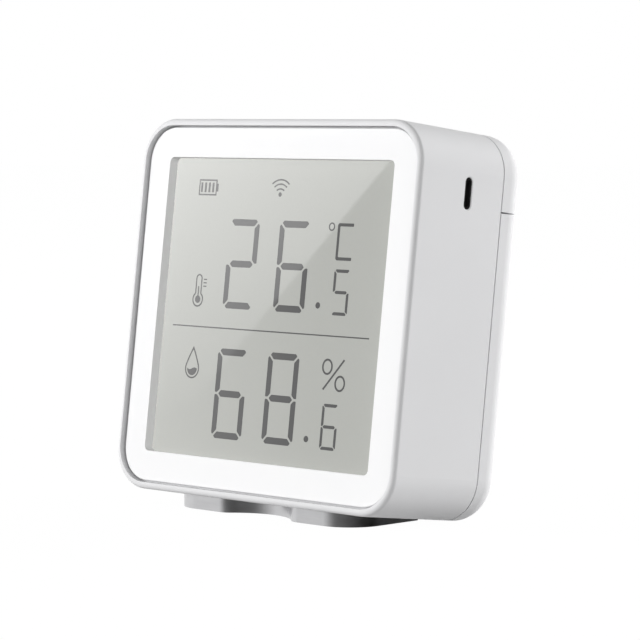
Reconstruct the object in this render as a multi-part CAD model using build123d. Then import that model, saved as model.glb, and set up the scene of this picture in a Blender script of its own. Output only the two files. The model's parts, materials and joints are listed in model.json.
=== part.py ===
# Tabletop temperature and humidity sensor: a rounded square housing with a segment display,
# a rear cover with a battery bay, a pull-off battery door, a pairing button and a fold-out foot.
# All lengths are in millimetres and all angles in degrees.
import os
from math import cos, radians, sin

from build123d import *

# Driving dimensions of the whole device
width = 74.0
height = 72.0
corner_radius = 8.0
lean = 7.25
cap_depth = 6.4
seam_gap = 0.3
split_from_top = 14.5
wall = 2.0
rear_radius = 4.0
cover_wall = 1.8
overrun = 1.0
fit_gap = 0.3

# Front lip, panel and window
lip_width = 1.0
lip_height = 1.3
lip_radius = 0.9
panel_recess = 0.8
panel_side_gap = 0.55
panel_end_gap = 0.35
panel_plate = 1.2
panel_edge_radius = 0.25
window_side = 7.2
window_end = 7.4
window_radius = 1.1
collar_width = 1.5
collar_depth = 0.8

# Display stack, from front to back
glass_side_overlap = 1.6
glass_end_overlap = 1.5
glass_thickness = 0.7
polariser_thickness = 0.18
reflector_thickness = 0.22
polariser_inset = 0.3
contact_ledge = 3.0

# Ledge that carries the panel, and the cavity behind it
ledge_depth = 3.6
ledge_clearance = 0.8
ledge_corner = 2.0

# Display frame, contact strip and main board
frame_flange = 1.0
board_thickness = 1.2
board_edge_gap = 0.4
strip_height = 1.8
strip_from_glass_side = 3.4
strip_slot_gap = 0.2
strip_from_glass_edge = 0.7

# Screws
board_screw_diameter = 1.4
board_screw_head = 2.6
board_screw_head_height = 1.0
board_screw_in_ledge = 2.5
board_screw_from_wall = 1.8
board_screw_below_boss = 7.5
board_screw_above_boss = 16.5
cover_screw_diameter = 1.7
cover_screw_head = 4.0
cover_screw_head_height = 1.6
cover_screw_length = 10.0
screw_hole_gap = 0.15
thread_gap = 0.02
pilot_extra = 0.4
boss_diameter = 5.2
boss_web = 2.4
boss_from_wall = 3.4
boss_from_top = 20.5
boss_from_bottom = 11.5
boss_clearance = 0.4
recess_drive_share = 0.45
recess_depth_share = 0.5

# Radio module, controller and small parts on the rear of the main board
module_width = 16.0
module_length = 19.0
module_thickness = 0.8
module_x = 14.0
module_from_top = 14.5
shield_width = 14.0
shield_depth = 2.2
shield_wall = 0.25
shield_from_end = 0.8
antenna_length = 3.9
antenna_width = 0.6
antenna_thickness = 0.12
antenna_turns = 5
controller_size = 9.0
controller_thickness = 1.4
controller_x = -2.5
controller_from_top = 17.0
controller_standoff = 0.15
lead_width = 0.4
lead_reach = 0.9
lead_count = 8
crystal_length = 8.0
crystal_width = 3.2
crystal_thickness = 1.8
crystal_x = -5.0
crystal_gap = 1.5
capacitor_length = 2.0
capacitor_width = 1.2
capacitor_count = 6
capacitor_pitch = 3.0
capacitor_from_wall = 8.0
capacitor_from_top = 23.5

# Vent slot and the sensor behind it
vent_depth = 13.3
vent_from_top = 12.0
vent_width = 1.8
vent_length = 5.9
vent_lip = 0.5
vent_chamfer = 0.15
gasket_side_gap = 0.2
gasket_width = 5.2
gasket_length = 8.0
gasket_wall = 1.0
gasket_thickness = 2.2
gasket_nose_wall = 0.3
gasket_nose_gap = 0.03
sensor_board_thickness = 0.8
sensor_board_length = 10.4
sensor_board_rear = 4.8
sensor_chip_size = 2.5
sensor_chip_thickness = 0.9
header_width = 2.5
header_length = 7.0
header_pins = 4

# Battery bay, cells and contacts
cell_diameter = 10.5
cell_length = 44.5
cell_nub_diameter = 3.8
cell_nub_height = 1.0
cell_edge_radius = 0.6
cell_spacing = 1.5
cell_side_gap = 0.6
cell_floor_gap = 0.2
cell_rear_room = 2.9
bay_centre = -2.0
bay_wall = 1.2
component_room = 4.6
cradle_x = 13.0
cradle_thickness = 1.2
cradle_rise = 4.4
contact_thickness = 0.3
contact_width = 9.0
contact_bump_height = 0.7
contact_bump_diameter = 4.6
spring_length = 5.2
spring_wire = 0.6
spring_turns = 4
spring_base_diameter = 7.4
spring_tip_diameter = 5.0

# Rear cover and battery door
plate_thickness = 1.7
lower_end_clearance = 0.3
cap_front_wall = 1.2
cap_shelf = 1.6
cavity_side_gap = 1.5
scoop_radius = 12.0
scoop_sink = 1.3
tab_width = 6.0
tab_thickness = 1.5
tab_x = 18.0
tab_below_split = 4.5
tab_from_bottom = 13.5
tab_past_plate = 0.8
door_rib_thickness = 1.2
door_travel = 20.0

# Pairing button and its switch
button_from_side = 17.0
button_from_top = 7.8
button_diameter = 7.0
button_flange_diameter = 9.0
button_flange = 0.8
button_flange_gap = 0.3
button_sink = 0.1
button_stem_diameter = 3.0
button_hole_gap = 0.2
button_sleeve_diameter = 6.4
button_sleeve_room = 0.6
button_sleeve_gap = 0.1
button_travel = 0.5
button_edge_radius = 0.3
switch_size = 6.0
switch_thickness = 3.4
switch_plunger_diameter = 3.4
switch_plunger_height = 1.4
switch_play = 0.05

# Fold-out foot, its bay in the housing and its hinge pin
foot_width = 48.8
foot_setback = 3.25
foot_corner = 7.0
foot_height = 4.2
foot_wall = 1.6
foot_floor = 1.6
scallop_width = 17.5
scallop_depth = 4.3
scallop_blend = 3.5
hinge_from_seam = 3.2
hinge_from_bottom = 2.0
hinge_barrel = 3.2
hinge_pin_diameter = 1.5
hinge_pin_gap = 0.05
foot_bay_front_wall = 0.85
foot_bay_rear_wall = 1.2
foot_roof_gap = 0.52
foot_bay_side_gap = 0.4
foot_bay_wall = 1.2
foot_bay_cheek = 2.5
pin_in_cheek = 2.2

# Places that follow from the sizes above
inner_width = width - 2 * wall
inner_height = height - 2 * wall
inner_radius = corner_radius - wall
split_height = height / 2 - split_from_top
window_width = width - 2 * window_side
window_height = height - 2 * window_end
glass_width = window_width + 2 * glass_side_overlap
glass_height = window_height + 2 * glass_end_overlap
opening_width = width - 2 * lip_width
opening_height = height - 2 * lip_height
opening_radius = corner_radius - lip_width
panel_back = panel_recess + panel_plate
display_front = panel_back + collar_depth
front_glass_depth = display_front + polariser_thickness
rear_glass_depth = front_glass_depth + glass_thickness
reflector_depth = rear_glass_depth + glass_thickness
frame_depth = reflector_depth + reflector_thickness
ledge_back = panel_back + ledge_depth
board_front = ledge_back + frame_flange
board_back = board_front + board_thickness
ledge_opening_width = glass_width + 2 * ledge_clearance
ledge_opening_height = glass_height + ledge_clearance
bay_floor_depth = board_back + component_room + bay_wall
cell_radius = cell_diameter / 2
cell_depth = bay_floor_depth + cell_floor_gap + cell_radius
cover_inner = cell_depth + cell_radius + cell_rear_room
depth = cover_inner + cover_wall
seam_depth = depth - cap_depth
boss_x = inner_width / 2 - boss_from_wall
boss_upper_height = height / 2 - boss_from_top
boss_lower_height = boss_from_bottom - height / 2
boss_rear = seam_depth - plate_thickness
board_screw_x = inner_width / 2 - board_screw_from_wall
board_screw_upper = boss_upper_height - board_screw_below_boss
board_screw_lower = boss_lower_height + board_screw_above_boss
cover_front = seam_depth + seam_gap
cap_bottom = split_height + seam_gap / 2
door_top = split_height - seam_gap / 2
cell_pitch = cell_diameter + cell_spacing
cell_heights = (bay_centre + cell_pitch / 2, bay_centre - cell_pitch / 2)
bay_height = cell_pitch + cell_diameter + 2 * cell_side_gap
contact_x = (cell_length + spring_length + contact_bump_height) / 2
bay_length = 2 * (contact_x + contact_thickness)
sensor_board_x = inner_width / 2 - gasket_thickness
switch_top = board_back + switch_thickness
module_height = height / 2 - module_from_top
shield_length = module_length - shield_from_end - antenna_length - 3 * antenna_width
controller_height = height / 2 - controller_from_top
controller_top = controller_height + controller_size / 2 + lead_reach
crystal_height = controller_top + crystal_gap + crystal_width / 2
capacitor_x = capacitor_from_wall - inner_width / 2
capacitor_height = height / 2 - capacitor_from_top
vent_height = height / 2 - vent_from_top
tab_upper_height = split_height - tab_below_split
tab_lower_height = tab_from_bottom - height / 2
button_x = button_from_side - width / 2
button_height = height / 2 - button_from_top
hinge_height = hinge_from_bottom - height / 2
hinge_depth = seam_depth - hinge_from_seam
floor_drop = (
    (height / 2 - rear_radius) * cos(radians(lean))
    + (depth - rear_radius) * sin(radians(lean))
    + rear_radius
)
hinge_back = hinge_depth * cos(radians(lean)) + hinge_height * sin(radians(lean))
hinge_rise = floor_drop - hinge_depth * sin(radians(lean)) + hinge_height * cos(radians(lean))
foot_front = foot_setback - height / 2 * sin(radians(lean))
foot_bay_front = panel_back + foot_bay_front_wall
foot_bay_rear = seam_depth - foot_bay_rear_wall
foot_bay_top = hinge_height + foot_height - hinge_rise + foot_roof_gap
foot_bay_roof = foot_bay_top + foot_bay_wall
lower_end = foot_bay_roof + lower_end_clearance
boss_places = [
    (boss_x, boss_upper_height),
    (-boss_x, boss_upper_height),
    (boss_x, boss_lower_height),
    (-boss_x, boss_lower_height),
]
board_screw_places = [
    (board_screw_x, board_screw_upper),
    (-board_screw_x, board_screw_upper),
    (board_screw_x, board_screw_lower),
    (-board_screw_x, board_screw_lower),
]

# The floor, seen from the upright housing: x to the right, y to the back, z up
floor = Plane(
    origin=(0, -floor_drop * cos(radians(lean)), -floor_drop * sin(radians(lean))),
    x_dir=(1, 0, 0),
    z_dir=(0, cos(radians(lean)), sin(radians(lean))),
)


def back(sketch, near, far):
    """A face-on sketch made solid from one depth behind the lip to another."""
    return Pos(0, 0, -far) * extrude(sketch, far - near)


def rise(sketch, low, high):
    """A plan sketch, with y as depth, made solid from one height to another."""
    plane = Plane(origin=(0, low, 0), x_dir=(1, 0, 0), z_dir=(0, 1, 0))
    return plane * extrude(sketch, high - low)


def across(sketch, left, right):
    """A side sketch, with x as depth and y as height, made solid from left to right."""
    plane = Plane(origin=(left, 0, 0), x_dir=(0, 0, -1), z_dir=(1, 0, 0))
    return plane * extrude(sketch, right - left)


def span(left, right, low, high):
    """A rectangle given by its four sides."""
    return Pos((left + right) / 2, (low + high) / 2) * Rectangle(right - left, high - low)


def rod(places, diameter, near, far):
    """Round rods or holes that run from front to back."""
    return back(Sketch() + [Pos(x, y) * Circle(diameter / 2) for x, y in places], near, far)


def notches(near, far):
    """Room for the cover bosses in a sheet that lies in front of the rear cover."""
    cut = rod(boss_places, boss_diameter + 2 * boss_clearance, near, far)
    notch = boss_web / 2 + boss_clearance
    for x, y in boss_places:
        outer = x + (boss_from_wall if x > 0 else -boss_from_wall)
        cut += back(span(min(x, outer), max(x, outer), y - notch, y + notch), near, far)
    return cut


def make_main_housing():
    shell = back(RectangleRounded(width, height, corner_radius), 0, seam_depth)
    shell = fillet(shell.faces().sort_by(Axis.Z)[-1].edges(), lip_radius)
    opening = RectangleRounded(opening_width, opening_height, opening_radius)
    shell -= back(opening, -overrun, panel_back)
    ledge = RectangleRounded(ledge_opening_width, ledge_opening_height, ledge_corner)
    shell -= back(ledge, 0, ledge_back + overrun)
    cavity = RectangleRounded(inner_width, inner_height, inner_radius)
    shell -= back(cavity, ledge_back, seam_depth + overrun)
    # Bay for the foot, closed above by a roof and at the sides by cheeks that hold the pin
    bay_half = foot_width / 2 + foot_bay_side_gap
    cheek_half = bay_half + foot_bay_cheek
    box = span(-cheek_half, cheek_half, panel_back, seam_depth)
    shell += rise(box, wall / 2 - height / 2, foot_bay_roof)
    pocket = span(-bay_half, bay_half, foot_bay_front, foot_bay_rear)
    pocket = fillet(pocket.vertices().group_by(Axis.Y)[0], foot_corner + foot_bay_side_gap)
    shell -= rise(pocket, -height / 2 - overrun, foot_bay_top)
    pin_half = bay_half + pin_in_cheek
    pin_hole = Pos(hinge_depth, hinge_height) * Circle(hinge_pin_diameter / 2 + thread_gap)
    shell -= across(pin_hole, -pin_half, pin_half)
    # Bosses for the cover screws, each tied to its side wall by a web
    bosses = rod(boss_places, boss_diameter, ledge_back, boss_rear)
    for x, y in boss_places:
        outer = (inner_width + wall) / 2 * (1 if x > 0 else -1)
        web = span(min(x, outer), max(x, outer), y - boss_web / 2, y + boss_web / 2)
        bosses += back(web, ledge_back, boss_rear)
    shell += bosses
    pilot = cover_screw_diameter + 2 * thread_gap
    pilot_end = seam_depth - cover_screw_length - pilot_extra
    shell -= rod(boss_places, pilot, pilot_end, boss_rear + overrun)
    pilot = board_screw_diameter + 2 * thread_gap
    pilot_end = ledge_back - board_screw_in_ledge - pilot_extra
    shell -= rod(board_screw_places, pilot, pilot_end, ledge_back)
    # Vent slot through a thin lip, in front of a recess that takes the gasket
    place = Pos(vent_depth, vent_height)
    vent = place * SlotOverall(vent_length, vent_width, rotation=90)
    recess = place * RectangleRounded(
        gasket_width + 2 * gasket_side_gap,
        gasket_length + 2 * gasket_side_gap,
        gasket_wall,
    )
    shell -= across(recess, inner_width / 2 - overrun, width / 2 - vent_lip)
    shell -= across(vent, inner_width / 2, width / 2 + overrun)
    side = shell.faces().filter_by(Axis.X).sort_by(Axis.X)[-1]
    return chamfer(side.inner_wires()[0].edges(), vent_chamfer)


def make_front_panel():
    panel_width = opening_width - 2 * panel_side_gap
    panel_height = opening_height - 2 * panel_end_gap
    sheet = RectangleRounded(panel_width, panel_height, opening_radius - panel_side_gap)
    panel = back(sheet, panel_recess, panel_back)
    panel = fillet(panel.faces().sort_by(Axis.Z)[-1].edges(), panel_edge_radius)
    collar = RectangleRounded(
        window_width + 2 * collar_width,
        window_height + 2 * collar_width,
        window_radius + collar_width,
    )
    panel += back(collar, panel_back, display_front)
    window = RectangleRounded(window_width, window_height, window_radius)
    return panel - back(window, 0, display_front + overrun)


def make_front_polariser():
    sheet = Rectangle(glass_width - 2 * polariser_inset, glass_height - 2 * polariser_inset)
    return back(sheet, display_front, front_glass_depth)


def make_front_glass():
    return back(Rectangle(glass_width, glass_height), front_glass_depth, rear_glass_depth)


def rear_sheet(inset):
    """The smaller sheets behind, which leave the contact ledge of the front glass bare."""
    half = glass_width / 2 - inset
    return span(-half, half, contact_ledge - glass_height / 2 + inset, glass_height / 2 - inset)


def make_rear_glass():
    return back(rear_sheet(0), rear_glass_depth, reflector_depth)


def make_rear_reflector():
    return back(rear_sheet(polariser_inset), reflector_depth, frame_depth)


def board_sheet(inset):
    """Outline shared by the frame flange and the main board: it stops above the foot bay."""
    sheet = RectangleRounded(inner_width - 2 * inset, inner_height - 2 * inset, inner_radius - inset)
    return sheet & span(-width, width, lower_end, height)


def strip_span(gap):
    """The contact strip, or its slot, near the lower edge of the front glass."""
    low = strip_from_glass_edge - glass_height / 2
    half = glass_width / 2 - strip_from_glass_side + gap
    return span(-half, half, low - gap, low + strip_height + gap)


def make_display_frame():
    body = RectangleRounded(
        ledge_opening_width - 2 * board_edge_gap,
        ledge_opening_height - 2 * board_edge_gap,
        ledge_corner,
    )
    frame = back(body & span(-width, width, lower_end, height), frame_depth, board_front)
    frame += back(board_sheet(board_edge_gap), ledge_back, board_front)
    frame -= notches(frame_depth - overrun, board_front + overrun)
    hole = board_screw_diameter + 2 * screw_hole_gap
    frame -= rod(board_screw_places, hole, frame_depth, board_front + overrun)
    frame -= back(strip_span(strip_slot_gap), frame_depth - overrun, board_front + overrun)
    # Two windows save weight and leave a cross bar behind the glass
    light_width = ledge_opening_width / 2 - 2 * collar_width
    light_height = ledge_opening_height / 4 - collar_width
    for side in (-1, 1):
        for level in (-1, 1):
            centre = Pos(side * ledge_opening_width / 4, level * (light_height / 2 + 2 * collar_width))
            light = centre * RectangleRounded(light_width - 4 * collar_width, light_height, ledge_corner)
            frame -= back(light, frame_depth - overrun, board_front + overrun)
    return frame


def make_contact_strip():
    return back(strip_span(0), rear_glass_depth, board_front)


def make_main_board():
    board = back(board_sheet(board_edge_gap), board_front, board_back)
    board -= notches(board_front - overrun, board_back + overrun)
    hole = board_screw_diameter + 2 * screw_hole_gap
    return board - rod(board_screw_places, hole, board_front - overrun, board_back + overrun)


def screw(diameter, head, head_height, head_front, length):
    """A pan-head screw with a cross recess, pointing to the front."""
    solid = back(Circle(diameter / 2), head_front - length, head_front)
    solid += back(Circle(head / 2), head_front, head_front + head_height)
    solid = chamfer(solid.faces().sort_by(Axis.Z)[0].edges(), head_height / 4)
    slot = head * recess_drive_share
    cross = Rectangle(slot, slot / 4) + Rectangle(slot / 4, slot)
    recess = head_height * recess_depth_share
    return solid - back(cross, head_front + head_height - recess, head_front + head_height + overrun)


def make_board_screws():
    length = board_screw_in_ledge + frame_flange + board_thickness
    one = screw(board_screw_diameter, board_screw_head, board_screw_head_height, board_back, length)
    return Compound(children=[Pos(x, y) * one for x, y in board_screw_places])


def make_cover_screws():
    one = screw(
        cover_screw_diameter,
        cover_screw_head,
        cover_screw_head_height,
        seam_depth,
        cover_screw_length,
    )
    return Compound(children=[Pos(x, y) * one for x, y in boss_places])


def make_radio_board():
    sheet = Pos(module_x, module_height) * Rectangle(module_width, module_length)
    return back(sheet, board_back, board_back + module_thickness)


def make_radio_shield():
    low = module_height - module_length / 2 + shield_from_end
    place = Pos(module_x, low + shield_length / 2)
    front = board_back + module_thickness
    can = back(place * Rectangle(shield_width, shield_length), front, front + shield_depth)
    can = fillet(can.edges().filter_by(Axis.Z), 2 * shield_wall)
    hollow = Rectangle(shield_width - 2 * shield_wall, shield_length - 2 * shield_wall)
    return can - back(place * hollow, front - overrun, front + shield_depth - shield_wall)


def make_antenna():
    """A folded track on the bare end of the radio board."""
    top = module_height + module_length / 2 - antenna_width
    low = module_height - module_length / 2 + shield_from_end + shield_length + 2 * antenna_width
    pitch = (module_width - 4 * antenna_width) / (2 * antenna_turns)
    left = module_x - pitch * antenna_turns
    front = board_back + module_thickness
    track = Sketch()
    for turn in range(antenna_turns * 2 + 1):
        x = left + turn * pitch
        track += span(x - antenna_width / 2, x + antenna_width / 2, low, top)
        if turn < antenna_turns * 2:
            y = top if turn % 2 == 0 else low
            ends = (y - antenna_width, y) if turn % 2 == 0 else (y, y + antenna_width)
            track += span(x - antenna_width / 2, x + pitch + antenna_width / 2, ends[0], ends[1])
    return back(track, front, front + antenna_thickness)


def make_controller_chip():
    front = board_back + controller_standoff
    rear = front + controller_thickness
    place = Pos(controller_x, controller_height)
    chip = back(place * Rectangle(controller_size, controller_size), front, rear)
    reach = controller_size / 2 + lead_reach
    pitch = controller_size / (lead_count + 1)
    middle = (front + rear) / 2
    for lead in range(lead_count):
        offset = (lead + 1) * pitch - controller_size / 2
        side = span(-reach, reach, offset - lead_width / 2, offset + lead_width / 2)
        end = span(offset - lead_width / 2, offset + lead_width / 2, -reach, reach)
        chip += back(place * side, board_back, middle)
        chip += back(place * end, board_back, middle)
    return chip


def make_crystal():
    place = Pos(crystal_x, crystal_height)
    can = back(place * SlotOverall(crystal_length, crystal_width), board_back, board_back + crystal_thickness)
    return fillet(can.faces().sort_by(Axis.Z)[0].edges(), crystal_thickness / 4)


def make_capacitors():
    blocks = []
    for number in range(capacitor_count):
        place = Pos(capacitor_x + number * capacitor_pitch, capacitor_height)
        sheet = place * Rectangle(capacitor_width, capacitor_length)
        blocks.append(back(sheet, board_back, board_back + capacitor_width))
    return Compound(children=blocks)


def make_sensor_board():
    rear = vent_depth + sensor_board_rear
    half = sensor_board_length / 2
    sheet = span(board_back, rear, vent_height - half, vent_height + half)
    return across(sheet, sensor_board_x - sensor_board_thickness, sensor_board_x)


def make_sensor_chip():
    place = Pos(vent_depth, vent_height)
    chip = across(
        place * Rectangle(sensor_chip_size, sensor_chip_size),
        sensor_board_x,
        sensor_board_x + sensor_chip_thickness,
    )
    port = place * Circle(sensor_chip_size / 5)
    half = sensor_chip_thickness / 2
    return chip - across(port, sensor_board_x + half, sensor_board_x + sensor_chip_thickness + overrun)


def make_sensor_gasket():
    place = Pos(vent_depth, vent_height)
    ring = RectangleRounded(gasket_width, gasket_length, gasket_wall)
    ring -= Rectangle(gasket_width - 2 * gasket_wall, gasket_length - 2 * gasket_wall)
    gasket = across(place * ring, sensor_board_x, width / 2 - vent_lip - gasket_wall)
    # The outer end closes in to a nose that lines the vent slot
    nose_width = vent_width - 2 * gasket_nose_gap
    nose = SlotOverall(vent_length - 2 * gasket_nose_gap, nose_width, rotation=90)
    way = offset(nose, -gasket_nose_wall)
    plate = RectangleRounded(gasket_width, gasket_length, gasket_wall) - way
    gasket += across(place * plate, width / 2 - vent_lip - gasket_wall, width / 2 - vent_lip)
    return gasket + across(place * (nose - way), width / 2 - vent_lip, width / 2 - vent_chamfer)


def make_sensor_header():
    right = sensor_board_x - sensor_board_thickness
    half = header_length / 2
    strip = span(right - header_width, right, vent_height - half, vent_height + half)
    header = back(strip, board_back, board_back + header_width)
    pitch = header_length / header_pins
    for pin in range(header_pins):
        y = vent_height - half + (pin + 1 / 2) * pitch
        groove = span(right - header_width, right, y - pitch / 8, y + pitch / 8)
        rear = board_back + header_width
        header -= back(groove, rear - header_width / 4, rear + overrun)
    return header


def cell_rod(y, diameter, left, right):
    """A round rod along the axis of one cell."""
    return across(Pos(cell_depth, y) * Circle(diameter / 2), left, right)


def make_rear_cover():
    plate_front = seam_depth - plate_thickness
    inside = RectangleRounded(inner_width - 2 * fit_gap, inner_height - 2 * fit_gap, inner_radius - fit_gap)
    cover = back(inside & span(-width, width, lower_end, height), plate_front, seam_depth)
    # Upper cap, which is the visible back above the split line
    above = span(-width, width, cap_bottom, height)
    cap = back(RectangleRounded(width, height, corner_radius), cover_front, depth)
    cap = fillet(cap.faces().sort_by(Axis.Z)[0].edges(), rear_radius)
    cap &= back(above, 0, depth)
    cover += cap
    cover += back(inside & above, plate_front, cover_front + cap_front_wall)
    shelf = cap_bottom + cap_shelf
    above_shelf = span(-width, width, shelf, height)
    mouth = RectangleRounded(
        inner_width - 2 * (fit_gap + cavity_side_gap),
        inner_height - 2 * (fit_gap + cavity_side_gap),
        inner_radius - fit_gap - cavity_side_gap,
    )
    cover -= back(mouth & above_shelf, plate_front - overrun, cover_inner)
    hollow = RectangleRounded(width - 2 * cover_wall, height - 2 * cover_wall, corner_radius - cover_wall)
    room = back(hollow, cover_front + cap_front_wall, cover_inner)
    room = fillet(room.faces().sort_by(Axis.Z)[0].edges(), rear_radius - cover_wall)
    cover -= room & back(above_shelf, 0, depth)
    # Finger scoop in the lower edge of the cap, above the door
    ball = Pos(0, cap_bottom, scoop_sink - depth - scoop_radius) * Sphere(scoop_radius)
    cover -= ball
    # Battery bay, sunk forward from the plate, with half-round cradles for the cells
    low = bay_centre - bay_height / 2
    high = bay_centre + bay_height / 2
    half = bay_length / 2
    outer = span(-half - bay_wall, half + bay_wall, low - bay_wall, high + bay_wall)
    cover += back(outer, bay_floor_depth - bay_wall, seam_depth)
    cover -= back(span(-half, half, low, high), bay_floor_depth, seam_depth + overrun)
    for x in (-cradle_x, cradle_x):
        rib = span(x - cradle_thickness / 2, x + cradle_thickness / 2, low, high)
        cover += back(rib, bay_floor_depth, bay_floor_depth + cradle_rise)
    for y in cell_heights:
        cover -= cell_rod(y, cell_diameter + 2 * cell_floor_gap, -cradle_x * 3 / 2, cradle_x * 3 / 2)
    # Holes for the screws and slots for the door tabs
    hole = cover_screw_diameter + 2 * screw_hole_gap
    cover -= rod(boss_places, hole, plate_front - overrun, seam_depth + overrun)
    for x, y in tab_places():
        slot = Pos(x, y) * Rectangle(tab_width + 2 * fit_gap, tab_thickness + 2 * fit_gap)
        cover -= back(slot, plate_front - overrun, seam_depth + overrun)
    # Sleeve that guides the button, held by a rib
    sleeve_end = cover_inner - button_flange_gap - button_flange - button_travel - button_sleeve_room
    place = Pos(button_x, button_height)
    rib_top = inner_height / 2 - cavity_side_gap
    rib = span(button_x - bay_wall / 2, button_x + bay_wall / 2, shelf - overrun / 2, rib_top)
    cover += back(rib, plate_front, sleeve_end)
    cover += back(place * Circle(button_sleeve_diameter / 2), plate_front, sleeve_end)
    bore = button_stem_diameter / 2 + button_sleeve_gap
    cover -= back(place * Circle(bore), plate_front - overrun, sleeve_end + overrun)
    head_hole = button_diameter / 2 + button_hole_gap
    return cover - back(place * Circle(head_hole), cover_inner - overrun, depth + overrun)


def tab_places():
    return [(x, y) for y in (tab_upper_height, tab_lower_height) for x in (-tab_x, tab_x)]


def make_battery_door():
    below = span(-width, width, -height, door_top)
    door = back(RectangleRounded(width, height, corner_radius), cover_front, depth)
    door = fillet(door.faces().sort_by(Axis.Z)[0].edges(), rear_radius)
    hollow = RectangleRounded(width - 2 * cover_wall, height - 2 * cover_wall, corner_radius - cover_wall)
    room = back(hollow, cover_front - overrun, cover_inner)
    room = fillet(room.faces().sort_by(Axis.Z)[0].edges(), rear_radius - cover_wall)
    door -= room
    door &= back(below, 0, depth)
    tab_front = seam_depth - plate_thickness - tab_past_plate
    for x, y in tab_places():
        door += back(Pos(x, y) * Rectangle(tab_width, tab_thickness), tab_front, cover_inner)
    # Ribs that keep the cells in their cradles
    rib_front = cell_depth + cell_radius + fit_gap
    low = bay_centre - bay_height / 2
    high = bay_centre + bay_height / 2
    for x in (-cradle_x, cradle_x):
        rib = span(x - door_rib_thickness / 2, x + door_rib_thickness / 2, low, high)
        door += back(rib, rib_front, cover_inner)
    return door


def make_cell(y, facing):
    """One cell: facing is 1 with its nub to the right and -1 to the left."""
    nub_end = contact_x - contact_bump_height
    can_end = nub_end - cell_nub_height
    flat_end = nub_end - cell_length
    can = cell_rod(y, cell_diameter, flat_end, can_end)
    can = fillet(can.edges().filter_by(GeomType.CIRCLE), cell_edge_radius)
    can += cell_rod(y, cell_nub_diameter, can_end, nub_end)
    return can if facing > 0 else mirror(can, Plane.YZ)


def make_contact_plate(y, bumped):
    """A right-hand contact plate, with a pressed bump where it meets a nub."""
    rear = cell_depth + contact_width / 2
    sheet = span(rear - contact_width, rear, y - contact_width / 2, y + contact_width / 2)
    plate = across(sheet, contact_x, contact_x + contact_thickness)
    if bumped:
        plate += cell_rod(y, contact_bump_diameter, contact_x - contact_bump_height, contact_x)
    return plate


def make_positive_contact():
    return make_contact_plate(cell_heights[0], True)


def make_negative_contact():
    return make_contact_plate(cell_heights[1], False)


def make_link_contact():
    plates = make_contact_plate(cell_heights[1], True) + make_contact_plate(cell_heights[0], False)
    rear = cell_depth + contact_width / 2
    bridge = span(rear - contact_width / 2, rear, cell_heights[1], cell_heights[0])
    plates += across(bridge, contact_x, contact_x + contact_thickness)
    return mirror(plates, Plane.YZ)


def spring_path(y):
    """The line of a conical contact spring, from its plate to its tip."""
    length = spring_length - spring_wire
    base = (spring_base_diameter - spring_wire) / 2
    tip = (spring_tip_diameter - spring_wire) / 2
    turn_points = 4
    steps = spring_turns * turn_points
    points = []
    for step in range(steps + 1):
        share = step / steps
        radius = base + (tip - base) * share
        angle = radians(360 / turn_points * step)
        along = contact_x - spring_wire / 2 - length * share
        points.append(Vector(along, y + radius * sin(angle), -cell_depth + radius * cos(angle)))
    return Spline(points)


def make_cell_spring(y, side):
    """A conical wire spring between a contact plate and the flat end of a cell."""
    path = spring_path(y)
    ring = Plane(origin=path @ 0, z_dir=path % 0) * Circle(spring_wire / 2)
    coil = sweep(ring, path=path)
    return coil if side > 0 else mirror(coil, Plane.YZ)


def spring_gap():
    """The least gap between the turns of a contact spring, measured on points of its path."""
    path = spring_path(0)
    turn_points = 60
    steps = spring_turns * turn_points
    points = [path @ (step / steps) for step in range(steps + 1)]
    distances = []
    for index, point in enumerate(points):
        half_turn_on = index + turn_points // 2
        distances += [(other - point).length for other in points[half_turn_on:]]
    return min(distances) - spring_wire


def make_pairing_button():
    place = Pos(button_x, button_height)
    head_rear = depth - button_sink
    head_front = cover_inner - button_flange_gap
    button = back(place * Circle(button_diameter / 2), head_front, head_rear)
    button = fillet(button.faces().sort_by(Axis.Z)[0].edges(), button_edge_radius)
    flange_front = head_front - button_flange
    button += back(place * Circle(button_flange_diameter / 2), flange_front, head_front)
    tip = switch_top + switch_plunger_height
    return button + back(place * Circle(button_stem_diameter / 2), tip, flange_front)


def make_switch_body():
    place = Pos(button_x, button_height)
    body = back(place * Rectangle(switch_size, switch_size), board_back, switch_top)
    well = switch_plunger_diameter / 2 + switch_play
    sink = 2 * button_travel
    return body - back(place * Circle(well), switch_top - sink, switch_top + overrun)


def make_switch_plunger():
    place = Pos(button_x, button_height)
    front = switch_top - button_travel + switch_play * 2
    return back(place * Circle(switch_plunger_diameter / 2), front, switch_top + switch_plunger_height)


def foot_plan(half, front, rear, corner):
    """The foot seen from above: straight rear, round front corners."""
    plan = span(-half, half, front, rear)
    return fillet(plan.vertices().group_by(Axis.Y)[0], corner)


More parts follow.
